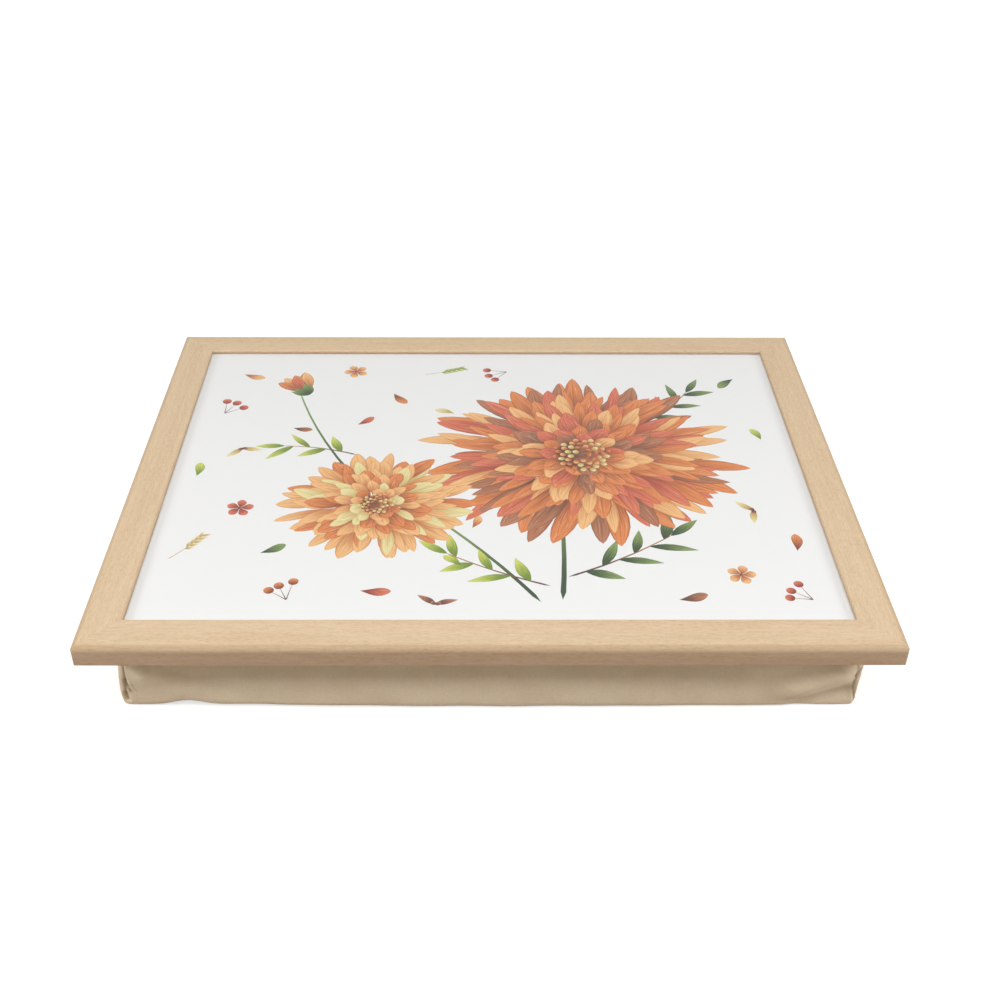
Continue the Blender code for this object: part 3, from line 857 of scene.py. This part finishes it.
COTTON_LIGHT = srgb(238, 222, 194)
COTTON_WARM = srgb(233, 214, 185)
COTTON_SHADE = srgb(206, 186, 158)
THREAD_GAPS = 0.0918
dress(cover, make_cotton())
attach(cover, "root")
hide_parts("cushion_cover")
print("cotton on", len(cover.data.polygons), "faces")

# %% [markdown]
# Under the board lie two more soft pieces. A plain lining cloth closes the bag; it is stretched
# flat and stapled down, with the cover's hem over it. Inside the bag are loose polystyrene beads,
# which one closed shape stands for: the cover's own surface drawn in by the cloth's thickness,
# level at the staples and rising inside the hem to meet the lining.

# %% Lining cloth
cloth_margin = 0.06 * MM
cloth_size = cloth_high - cloth_low
bpy.ops.mesh.primitive_grid_add(x_subdivisions=60, y_subdivisions=46, size=1)
top_cloth = bpy.context.object
top_cloth.name = "lining_cloth"
top_cloth.scale = (cloth_size.x, cloth_size.y, 1)
top_cloth.location = (0, 0, cloth_high.z - cloth_margin)
bpy.ops.object.transform_apply(location=True, scale=True)
apply_modifier(top_cloth, "SOLIDIFY", thickness=cloth_size.z - 2 * cloth_margin, offset=-1)
for vertex in top_cloth.data.vertices:
    vertex.co.z += 0.05 * MM * noise.noise(vertex.co / (12 * MM))
cut_slots([top_cloth], staple_names, slot_room)


def make_lining():
    """Thin cloth, a little uneven in tone."""
    lining = Finish("lining_weave")
    clouds = lining.noise(lining.place(), (30 * MM, 18 * MM, 1), 3, 0.6)
    colour = lining.mix(lining.ramp(clouds, 0.3, 0.7), srgb(226, 218, 204), srgb(214, 205, 189))
    return lining.surface({
        "Base Color": colour,
        "Roughness": lining.ramp(clouds, 0.3, 0.7, 0.86, 0.93),
    })


dress(top_cloth, make_lining())
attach(top_cloth, "root")
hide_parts("cushion_top_cloth")
print("lining cloth in mm:", [round(v / MM, 2) for v in cloth_size])

# %% Bead fill
fill_top = min(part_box(name)[0].z for name in staple_names) - touch_gap
beads.name = "loose_beads"
bpy.context.collection.objects.link(beads)
edit_all(beads)
bpy.ops.transform.shrink_fatten(value=-cloth_thickness - touch_gap)
bpy.ops.object.mode_set(mode="OBJECT")
for vertex in beads.data.vertices:
    vertex.co.z = min(vertex.co.z, fill_top)
close_rim(beads, cloth_low.z - touch_gap - fill_top)


def make_bead_finish():
    """White beads about 3 mm across, each a cell of a Voronoi pattern."""
    finish = Finish("polystyrene_beads")
    cells = finish.node("ShaderNodeTexVoronoi", {}, {"Vector": finish.place(), "Scale": 1 / (3.2 * MM)})
    distance = cells.out("Distance")
    tints = finish.node("ShaderNodeSeparateColor", {}, {0: cells.out("Color")})
    # Painted shade: the gaps between the beads are greyed.
    gaps = finish.ramp(distance, 0.35, 0.75)
    colour = finish.mix(tints, srgb(244, 244, 241), srgb(232, 232, 228))
    colour = finish.mix(gaps, colour, srgb(196, 195, 190))
    dome = 1 - distance * distance
    dome = dome.maths("MAXIMUM", 0) ** 0.5
    return finish.surface({
        "Base Color": colour,
        "Roughness": finish.ramp(gaps, 0, 1, 0.5, 0.75),
        "Normal": finish.bump(dome, 1.2 * MM, 0.9),
    })


dress(beads, make_bead_finish())
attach(beads, "root")
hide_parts("bead_fill")
print("bead fill:", len(beads.data.polygons), "faces")

# %% [markdown]
# The panel's print is a garden picture in watercolour: one large shaggy bloom, a smaller one and a
# bud on their stems, and a loose drift of petals, berries and sprigs. Everything in it is a blade,
# a shape drawn out along a bent line: a petal, a leaf, a stem or a round berry. Blades are listed
# from the back of the picture to the front, in millimetres from the middle of the panel.

# %% Blades of colour
INKS = {
    "russet": (srgb(128, 58, 28), srgb(222, 132, 70)),
    "amber": (srgb(176, 92, 40), srgb(238, 186, 124)),
    "brown": (srgb(84, 46, 32), srgb(176, 110, 74)),
    "red": (srgb(140, 50, 36), srgb(214, 112, 80)),
    "straw": (srgb(186, 156, 84), srgb(232, 218, 160)),
    "lime": (srgb(106, 134, 36), srgb(206, 212, 96)),
    "moss": (srgb(40, 66, 34), srgb(126, 152, 78)),
}
STATION_SHARES = (0, 0.06, 0.18, 0.34, 0.5, 0.64, 0.77, 0.88, 0.96, 1)
PROFILES = {
    "petal": lambda share: math.sin(math.pi * share**1.6) ** 0.7,
    "leaf": lambda share: math.sin(math.pi * share**0.85),
    "stem": lambda share: min(1, 30 * share, 30 * (1 - share)) * (1 - 0.45 * share),
    "berry": lambda share: 2 * math.sqrt(share * (1 - share)),
}
blades = []
dice = random.Random(7)


def heading(angle):
    """A step of length 1 in a direction given in degrees."""
    return Vector((math.cos(math.radians(angle)), math.sin(math.radians(angle))))


class Blade:
    """One shape of the print: its root, direction, length, width and how far its tip bends aside."""

    def __init__(self, kind, root, angle, length, width, ink, bend=0.0):
        self.kind = kind
        self.root = Vector(root)
        self.along = heading(angle)
        self.across = Vector((-self.along.y, self.along.x))
        self.length = length
        self.width = width
        self.ink = ink
        self.bend = bend
        self.seed = len(blades) + 1
        blades.append(self)

    def half_width(self, share):
        return self.width / 2 * PROFILES[self.kind](clamp(share, 0, 1))

    def point(self, share, side=0.0):
        """The point at a share of the length, and from -1 to 1 across."""
        offset = side * self.half_width(share) + self.bend * share * share
        return self.root + self.along * (share * self.length) + self.across * offset

    def place(self, point):
        """The share along and the side from -1 to 1 of any point on the blade."""
        step = point - self.root
        share = clamp(step.dot(self.along) / self.length, 0, 1)
        aside = step.dot(self.across) - self.bend * share * share
        return share, clamp(aside / max(self.half_width(share), 0.02), -1, 1)

    def rim(self):
        """The outline, once round, and the line along the middle."""
        inner = STATION_SHARES[1:-1]
        right = [self.point(share, -1) for share in inner]
        left = [self.point(share, 1) for share in reversed(inner)]
        middle = [self.point(share) for share in inner]
        return [self.point(0), *right, self.point(1), *left], middle


def wobble(value, share):
    """A value changed at random by up to a share of itself."""
    return value * (1 + dice.uniform(-share, share))


def add_bloom(centre, radius, inks, rings, squash=0.9):
    """A shaggy flower: rings of narrow petals, from the longest at the back to the centre."""
    for number, count in enumerate(rings):
        share = 1 - 0.82 * number / len(rings)
        for step in range(count):
            angle = wobble(360, 0.01) * (step + 0.5 * (number % 2)) / count + dice.uniform(-4, 4)
            stretch = squash + (1 - squash) * abs(math.cos(math.radians(angle)))
            reach = wobble(radius * share, 0.1) * stretch
            start = Vector(centre) + heading(angle) * reach * 0.3
            width = wobble(2 * math.pi * radius * share / count * 0.8, 0.25)
            bend = dice.uniform(-0.16, 0.16) * reach
            Blade("petal", start, angle, reach * 0.7, width, dice.choice(inks), bend)
    disc = radius * 0.34
    Blade("berry", Vector(centre) - Vector((disc / 2, 0)), 0, disc, disc, "brown")
    for step in range(46):
        reach = radius * 0.16 * math.sqrt((step + 0.5) / 46)
        angle = 137.5 * step
        seed = Vector(centre) + reach * heading(angle)
        ink = dice.choice(("straw", "amber", "russet"))
        Blade("berry", seed, angle, radius * 0.045, radius * 0.04, ink)


def add_spray(root, angle, length, ink, leaves, bend=0.0, size=1.0):
    """A stem with slender leaves on its two sides by turns."""
    stem = Blade("stem", root, angle, length, 1.5 * size, "brown", bend)
    for number in range(leaves):
        share = (number + 1) / (leaves + 0.6)
        side = 1 if number % 2 else -1
        lean = angle + math.degrees(math.atan2(2 * bend * share, length)) + side * wobble(38, 0.2)
        long, wide = wobble(26 * size, 0.15), wobble(7 * size, 0.15)
        Blade("leaf", stem.point(share), lean, long, wide, ink, side * 3 * size)
    tip_angle = angle + math.degrees(math.atan2(2 * bend, length))
    Blade("leaf", stem.point(0.98), tip_angle, 24 * size, 6.5 * size, ink, bend / 9)


def add_scrap(kind, x, y, angle, size, ink):
    """One small loose piece of the drift."""
    here = Vector((x, y))
    if kind == "petal":
        Blade("petal", here, angle, size, size * 0.42, ink, size * 0.16)
    elif kind == "berries":
        for turn in (-26, 4, 30):
            length = wobble(size * 0.62, 0.15)
            stalk = Blade("stem", here, angle + turn, length, 0.6, "brown", turn * 0.02)
            Blade("berry", stalk.point(0.97), angle + turn, size * 0.3, size * 0.29, ink)
    elif kind == "blossom":
        for turn in range(0, 360, 72):
            Blade("petal", here, angle + turn, size * 0.5, size * 0.34, ink, 0.4)
        Blade("berry", here - Vector((size * 0.06, 0)), 0, size * 0.13, size * 0.13, "brown")
    elif kind == "grain":
        ear = Blade("stem", here, angle, size, 0.6, "straw", size * 0.12)
        for number in range(9):
            side = 1 if number % 2 else -1
            start = ear.point(0.42 + 0.06 * number)
            Blade("leaf", start, angle + side * 30, size * 0.2, size * 0.075, ink, 0.2)
    elif kind == "wing":
        for side in (-1, 1):
            Blade("leaf", here, angle + side * 52, size * 0.72, size * 0.24, ink, side * size * 0.12)
            Blade("berry", here, angle + side * 52, size * 0.2, size * 0.16, "brown")


# %% Lay out the picture
Blade("stem", (40, -128), 84, 112, 3.2, "moss", 10)
Blade("stem", (28, -130), 122, 110, 2.6, "moss", 12)
Blade("stem", (-74, -24), 124, 126, 2, "moss", -20)
add_spray((44, -108), 24, 74, "moss", 6, 10)
add_spray((34, -116), 160, 66, "lime", 5, -8, 0.9)
add_spray((104, 54), 42, 52, "moss", 5, 8, 0.85)
add_spray((-84, 16), 156, 48, "lime", 4, 10, 0.8)
BUD_PETALS = (
    (104, "moss"), (132, "amber"), (118, "russet"), (96, "amber"), (146, "russet"), (121, "red"),
)
for angle, ink in BUD_PETALS:
    Blade("petal", (-122, 92), angle, wobble(27, 0.12), 8.5, ink, dice.uniform(-3, 3))
for angle in (88, 112, 140, 162):
    Blade("leaf", (-122, 90), angle, wobble(15, 0.1), 5.5, "moss", dice.uniform(-2, 2))
add_bloom((60, 16), 98, ("russet", "russet", "amber", "red", "brown"), (40, 40, 36, 32, 27, 22, 16, 11))
add_bloom((-68, -38), 58, ("amber", "amber", "russet", "straw"), (30, 28, 24, 20, 15, 10))
SCRAPS = (
    ("petal", -170, 118, -30, 16, "amber"), ("berries", -176, 66, 60, 21, "red"),
    ("wing", -158, 24, -70, 19, "straw"), ("petal", -182, -8, 80, 15, "lime"),
    ("blossom", -150, -42, 10, 17, "red"), ("grain", -184, -92, 48, 30, "straw"),
    ("petal", -132, -86, 20, 16, "moss"), ("berries", -112, -128, 110, 20, "russet"),
    ("petal", -72, -120, -12, 17, "red"), ("wing", -30, -132, 80, 18, "brown"),
    ("petal", -16, -98, 128, 14, "lime"), ("blossom", -92, 122, 40, 17, "amber"),
    ("petal", -64, 92, -64, 16, "russet"), ("grain", -44, 118, 12, 30, "lime"),
    ("petal", -22, 66, 150, 14, "straw"), ("berries", 14, 122, 200, 20, "red"),
    ("petal", -86, 52, 34, 14, "red"), ("petal", 172, 112, 216, 17, "moss"),
    ("wing", 160, -44, 200, 19, "straw"), ("petal", 178, -84, 74, 16, "russet"),
    ("blossom", 142, -106, 0, 17, "amber"), ("petal", 104, -128, 6, 17, "brown"),
    ("petal", 178, 34, 100, 14, "lime"), ("petal", -128, 48, -20, 13, "brown"),
    ("petal", -10, -62, 60, 13, "amber"), ("berries", 178, -128, 140, 19, "red"),
)
for scrap in SCRAPS:
    add_scrap(*scrap)
print("blades in the print:", len(blades))

# %% [markdown]
# To print them, the panel's top is divided along the blades' outlines with a constrained Delaunay
# triangulation. Where blades overlap, each small triangle takes the frontmost one. Its corners then
# learn where they lie on that blade, so that one shader can paint them all.

# %% Divide the panel's top into inked and bare parts
def panel_rim(bevel):
    """The panel's outline in millimetres, with its corners cut off."""
    half = Vector((face_high.x, face_high.y)) / MM
    corners = ((1, 1), (-1, 1), (-1, -1), (1, -1))
    rim = []
    for number, (x, y) in enumerate(corners):
        cuts = [Vector((x * (half.x - bevel), y * half.y)), Vector((x * half.x, y * (half.y - bevel)))]
        rim += reversed(cuts) if number % 2 == 0 else cuts
    return rim


def divide_panel():
    """The points and triangles of the divided top, and the blade on each triangle or None."""
    points, edges = panel_rim(1.5), []
    faces = [list(range(len(points)))]
    for blade in blades:
        rim, middle = blade.rim()
        faces.append(list(range(len(points), len(points) + len(rim))))
        points += rim
        edges += [(len(points) + step, len(points) + step + 1) for step in range(len(middle) - 1)]
        points += middle
    points, _, triangles, _, _, owners = geometry.delaunay_2d_cdt(points, edges, faces, 1, 1e-4)
    fronts = [max(owner) for owner in owners]
    return points, triangles, [blades[front - 1] if front else None for front in fronts]


points, triangles, fronts = divide_panel()
inked_count = sum(front is not None for front in fronts)
print("panel's top:", len(triangles), "triangles, of which", inked_count, "inked")

# %% Build the printed panel
panel_mesh = bpy.data.meshes.new("printed_panel")
panel_mesh.from_pydata([(*point * MM, face_high.z) for point in points], [], triangles)
panel = bpy.data.objects.new("printed_panel", panel_mesh)
bpy.context.collection.objects.link(panel)
INK_LAYERS = ("ink_place", "ink_root", "ink_tip")
for name in INK_LAYERS:
    panel_mesh.attributes.new(name, "FLOAT_VECTOR", "CORNER")
ink_place, ink_root, ink_tip = (panel_mesh.attributes[name] for name in INK_LAYERS)
for polygon, blade in zip(panel_mesh.polygons, fronts):
    for corner in polygon.loop_indices if blade else ():
        point = panel_mesh.vertices[panel_mesh.loops[corner].vertex_index].co.xy / MM
        ink_place.data[corner].vector = (*blade.place(point), blade.seed)
        ink_root.data[corner].vector, ink_tip.data[corner].vector = INKS[blade.ink]
close_rim(panel, face_low.z - face_high.z)


# %% Watercolour under a satin laminate
def make_print():
    """One shader for all blades: pale tips, dark roots, streaks along them and pooled edges."""
    paint = Finish("printed_laminate")
    layers = [paint.node("ShaderNodeAttribute", {"attribute_name": name}) for name in INK_LAYERS]
    place, root, tip = (layer.out("Vector") for layer in layers)
    parts = paint.node("ShaderNodeSeparateXYZ", {}, {0: place})
    along, across, seed = (parts.out(axis) for axis in "XYZ")
    inked = paint.ramp(seed, 0.4, 0.6)
    side = abs(across)
    streaks = paint.noise(place, (0.45, 0.22, 0.1), 3, 0.65)
    hairs = paint.noise(place, (0.3, 0.07, 0.07), 2, 0.6)
    light = paint.ramp(along + (streaks - 0.5) * 0.7, 0.138, 0.938)
    colour = paint.mix(light, root, tip)
    colour = paint.mix(paint.ramp(hairs, 0.52, 0.72, 0, 0.5), colour, root)
    colour = paint.mix(paint.ramp(hairs, 0.28, 0.46, 0.45, 0) * along, colour, srgb(252, 236, 208))
    edge = paint.ramp(side, 0.72, 1, 0, 0.6) * paint.ramp(streaks, 0.3, 0.6, 0.5, 1)
    colour = paint.mix(edge, colour, root)
    colour = paint.mix(paint.ramp(side, 0, 0.09, 0.4, 0), colour, root)
    colour = paint.mix(inked, PANEL_WHITE, colour)
    return paint.surface({
        "Base Color": colour,
        "Roughness": paint.ramp(inked, 0, 1, 0.26, 0.3),
        "Specular IOR Level": 0.5,
    })


PANEL_WHITE = (0.85, 0.85, 0.84)
dress(panel, make_print())
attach(panel, "root")
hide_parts("printed_face")
print("printed panel:", len(panel_mesh.polygons), "faces")
